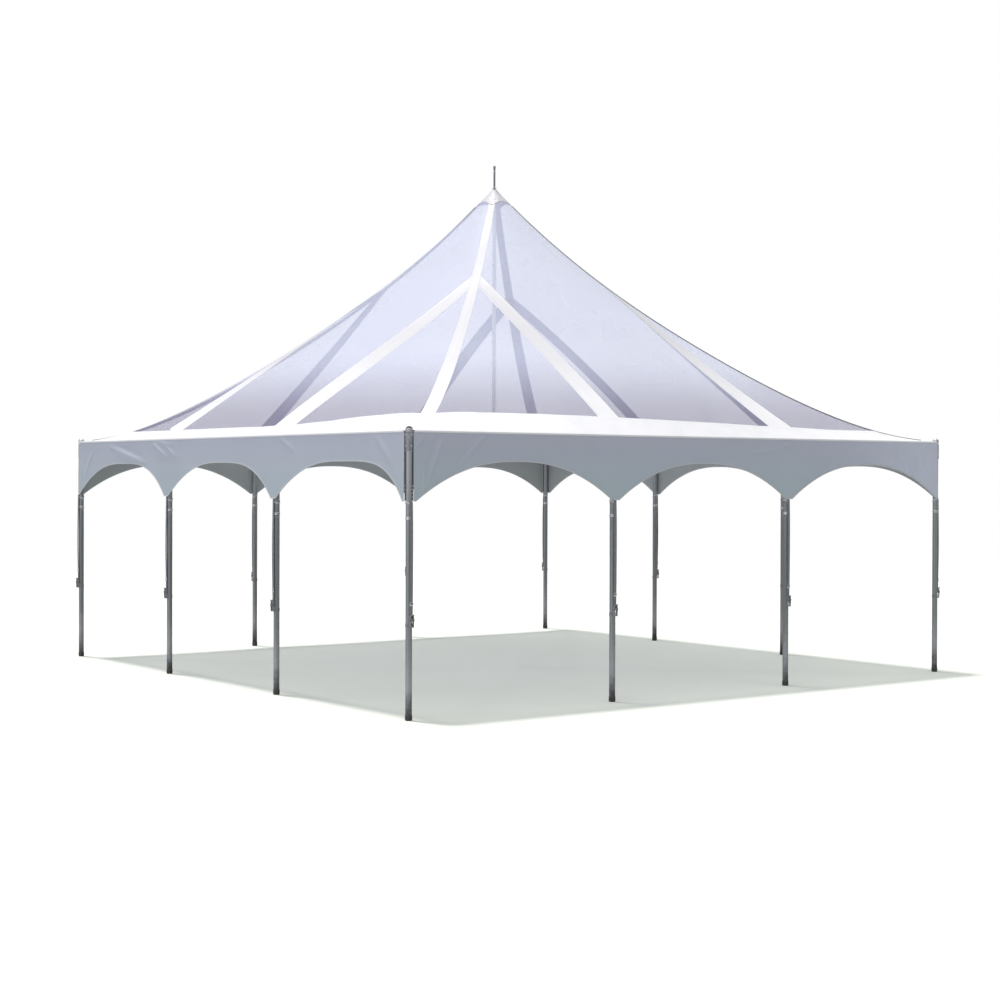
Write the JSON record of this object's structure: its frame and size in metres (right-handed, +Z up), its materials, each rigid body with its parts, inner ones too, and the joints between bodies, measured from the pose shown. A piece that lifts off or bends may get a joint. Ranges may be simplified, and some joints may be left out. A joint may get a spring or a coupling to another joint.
{
  "type": "marquee tent",
  "caption": "Square high-peak frame marquee with tube legs, clear roof panels, white bands and an arched valance.",
  "frame": {"origin": "on the ground below the peak, midway between the legs", "axes": "+Z up, -Y the front side, -X the left side"},
  "size_m": [6.1994, 6.1994, 4.97],
  "materials": {
    "leg_tube": "weathered satin",
    "eave_tube": "satin",
    "cast_fitting": "cast satin",
    "webbing": "woven",
    "white_tube": "satin",
    "wire_rope": "galvanised",
    "clear_vinyl": "smooth translucent",
    "white_vinyl": "coated",
    "valance_vinyl": "coated"
  },
  "bodies": {
    "root": {"leg_corner_front_left": "leg_tube", "leg_corner_front_right": "leg_tube", "leg_corner_back_right": "leg_tube", "leg_corner_back_left": "leg_tube", "leg_front_1": "leg_tube", "leg_front_2": "leg_tube", "leg_right_1": "leg_tube", "leg_right_2": "leg_tube", "leg_back_1": "leg_tube", "leg_back_2": "leg_tube", "leg_left_1": "leg_tube", "leg_left_2": "leg_tube", "corner_fitting_front_left": "cast_fitting", "corner_fitting_front_right": "cast_fitting", "corner_fitting_back_right": "cast_fitting", "corner_fitting_back_left": "cast_fitting", "eave_rail_front": "eave_tube", "eave_rail_right": "eave_tube", "eave_rail_back": "eave_tube", "eave_rail_left": "eave_tube", "ratchet_strap_corner_front_left": "webbing", "ratchet_strap_corner_front_right": "webbing", "ratchet_strap_corner_back_right": "webbing", "ratchet_strap_corner_back_left": "webbing", "ratchet_strap_front_1": "webbing", "ratchet_strap_front_2": "webbing", "ratchet_strap_right_1": "webbing", "ratchet_strap_right_2": "webbing", "ratchet_strap_back_1": "webbing", "ratchet_strap_back_2": "webbing", "ratchet_strap_left_1": "webbing", "ratchet_strap_left_2": "webbing", "mast": "white_tube", "mast_head": "cast_fitting", "cross_cable_lower": "wire_rope", "cross_cable_upper": "wire_rope", "roof_panel_front": "clear_vinyl", "roof_panel_right": "clear_vinyl", "roof_panel_back": "clear_vinyl", "roof_panel_left": "clear_vinyl", "peak_cap": "white_vinyl", "valance_front": "valance_vinyl", "valance_right": "valance_vinyl", "valance_back": "valance_vinyl", "valance_left": "valance_vinyl"}
  },
  "joints": []
}
